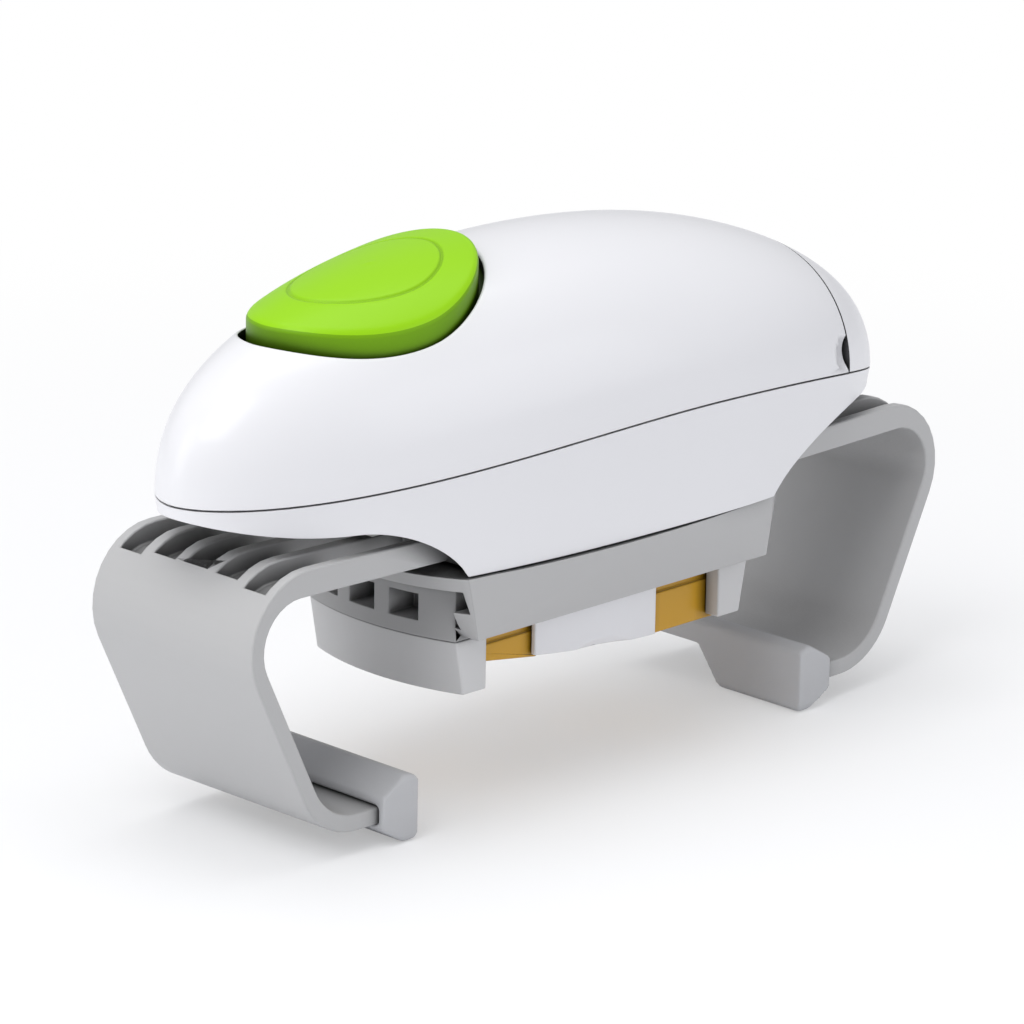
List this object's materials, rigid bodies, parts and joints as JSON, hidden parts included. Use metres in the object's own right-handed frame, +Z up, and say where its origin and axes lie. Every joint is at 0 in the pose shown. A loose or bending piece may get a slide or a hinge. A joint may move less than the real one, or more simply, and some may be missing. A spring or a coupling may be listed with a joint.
{
  "type": "electric jar opener",
  "caption": "Hand-held electric jar opener: egg-shaped motor casing over a turning jaw head, with two sliding hooked arms that hold the jar.",
  "frame": {"origin": "on the turning head's axis, at the height of the undersides of the rubber feet", "axes": "+X along the casing towards its tail, +Y across it, +Z up along the head's axis"},
  "size_m": [0.1943, 0.0658, 0.1108],
  "materials": {
    "white_plastic": "satin-gloss moulded plastic",
    "grey_plastic": "fine-grained moulded plastic",
    "jaw_grey": "satin moulded plastic",
    "block_grey": "fine-grained moulded plastic",
    "green_plastic": "satin-gloss moulded plastic",
    "amber_plastic": "smooth moulded plastic",
    "boot_rubber": "matt soft rubber",
    "inner_plastic": "moulded plastic",
    "black_plastic": "moulded plastic",
    "gear_plastic": "natural acetal",
    "steel": "turned and plated",
    "zinc": "zinc plated",
    "brass": "sintered",
    "friction": "pressed fibre",
    "cell_wrap": "printed wrap, plain",
    "wire_red": "extruded insulation"
  },
  "bodies": {
    "casing": {"upper_shell": "white_plastic", "lower_shell": "white_plastic", "base_plate": "grey_plastic", "inner_frame": "inner_plastic", "gearbox_plate": "inner_plastic", "casing_screws": "zinc", "gearbox_screws": "zinc", "switch_body": "black_plastic", "switch_bracket": "inner_plastic", "motor_can": "zinc", "motor_end_cap": "inner_plastic", "motor_bracket": "zinc", "gear_pins": "steel", "upper_bush": "brass", "lower_bush": "brass", "battery_tray": "inner_plastic", "near_cell": "cell_wrap", "far_cell": "cell_wrap", "tray_contacts": "zinc", "wires": "wire_red"},
    "cover": {"battery_cover": "white_plastic", "cover_contact": "zinc"},
    "button": {"button": "green_plastic", "button_spring": "steel", "switch_plunger": "black_plastic"},
    "rotor": {"motor_pinion": "brass"},
    "gear_1": {"idle_gear_1": "gear_plastic"},
    "gear_2": {"idle_gear_2": "gear_plastic"},
    "left_arm": {"left_arm": "grey_plastic", "left_boot": "boot_rubber", "left_foot_bumper": "boot_rubber"},
    "right_arm": {"right_arm": "grey_plastic", "right_boot": "boot_rubber", "right_foot_bumper": "boot_rubber"},
    "arm_pinion": {"arm_pinion": "gear_plastic"},
    "head": {"carrier": "grey_plastic", "hub": "white_plastic", "hub_screws": "zinc", "drive_shaft": "steel", "final_gear": "gear_plastic", "shaft_clip": "steel", "arm_clutch_disc": "friction", "jaw_clutch_disc": "friction", "thrust_washer": "gear_plastic"},
    "left_jaw": {"left_jaw": "jaw_grey", "left_jaw_block": "block_grey", "left_jaw_slide": "amber_plastic"},
    "right_jaw": {"right_jaw": "jaw_grey", "right_jaw_block": "block_grey", "right_jaw_slide": "amber_plastic"},
    "jaw_pinion": {"jaw_pinion": "gear_plastic"}
  },
  "joints": [
    {"name": "arm_left_slide", "type": "slide", "parent": "casing", "child": "left_arm", "axis": [1, 0, 0], "range_m": [0, 0.034]},
    {"name": "arm_right_slide", "type": "slide", "parent": "casing", "child": "right_arm", "axis": [-1, 0, 0], "range_m": [0, 0.034]},
    {"name": "arm_pinion_spin", "type": "hinge", "parent": "casing", "child": "arm_pinion", "pos_m": [0, 0, 0.0567], "axis": [0, 0, 1], "range_deg": [-285, 5]},
    {"name": "head_spin", "type": "hinge", "parent": "casing", "child": "head", "pos_m": [0, 0, 0.05], "axis": [0, 0, 1], "continuous": true},
    {"name": "gear_2_spin", "type": "hinge", "parent": "casing", "child": "gear_2", "pos_m": [-0.02028, 0.00544, 0.0695], "axis": [0, 0, 1], "continuous": true},
    {"name": "gear_1_spin", "type": "hinge", "parent": "casing", "child": "gear_1", "pos_m": [-0.03124, -0.01081, 0.0659], "axis": [0, 0, 1], "continuous": true},
    {"name": "motor_spin", "type": "hinge", "parent": "casing", "child": "rotor", "pos_m": [-0.04882, -0.00066, 0.0659], "axis": [0, 0, 1], "continuous": true},
    {"name": "jaw_left_slide", "type": "slide", "parent": "head", "child": "left_jaw", "axis": [1, 0, 0], "range_m": [0, 0.0145]},
    {"name": "jaw_right_slide", "type": "slide", "parent": "head", "child": "right_jaw", "axis": [-1, 0, 0], "range_m": [0, 0.0145]},
    {"name": "jaw_pinion_spin", "type": "hinge", "parent": "head", "child": "jaw_pinion", "pos_m": [0, 0, 0.042], "axis": [0, 0, 1], "range_deg": [-145, 5]},
    {"name": "button_press", "type": "slide", "parent": "casing", "child": "button", "axis": [0, 0, -1], "range_m": [0, 0.0012], "stiffness_N_per_m": 1500, "springref_m": -0.0008, "deforming": ["button_spring"]},
    {"name": "battery_cover_slide", "type": "slide", "parent": "casing", "child": "cover", "axis": [1, 0, 0], "range_m": [0, 0.06]}
  ],
  "couplings": [
    {"joint": "arm_right_slide", "follows": "arm_left_slide", "ratio": 1},
    {"joint": "arm_pinion_spin", "follows": "arm_left_slide", "rad_per_m": -142.86},
    {"joint": "jaw_right_slide", "follows": "jaw_left_slide", "ratio": 1},
    {"joint": "jaw_pinion_spin", "follows": "jaw_left_slide", "rad_per_m": -166.67},
    {"joint": "gear_2_spin", "follows": "head_spin", "ratio": -3.2857},
    {"joint": "gear_1_spin", "follows": "head_spin", "ratio": 9.8571},
    {"joint": "motor_spin", "follows": "head_spin", "ratio": -30.98}
  ]
}
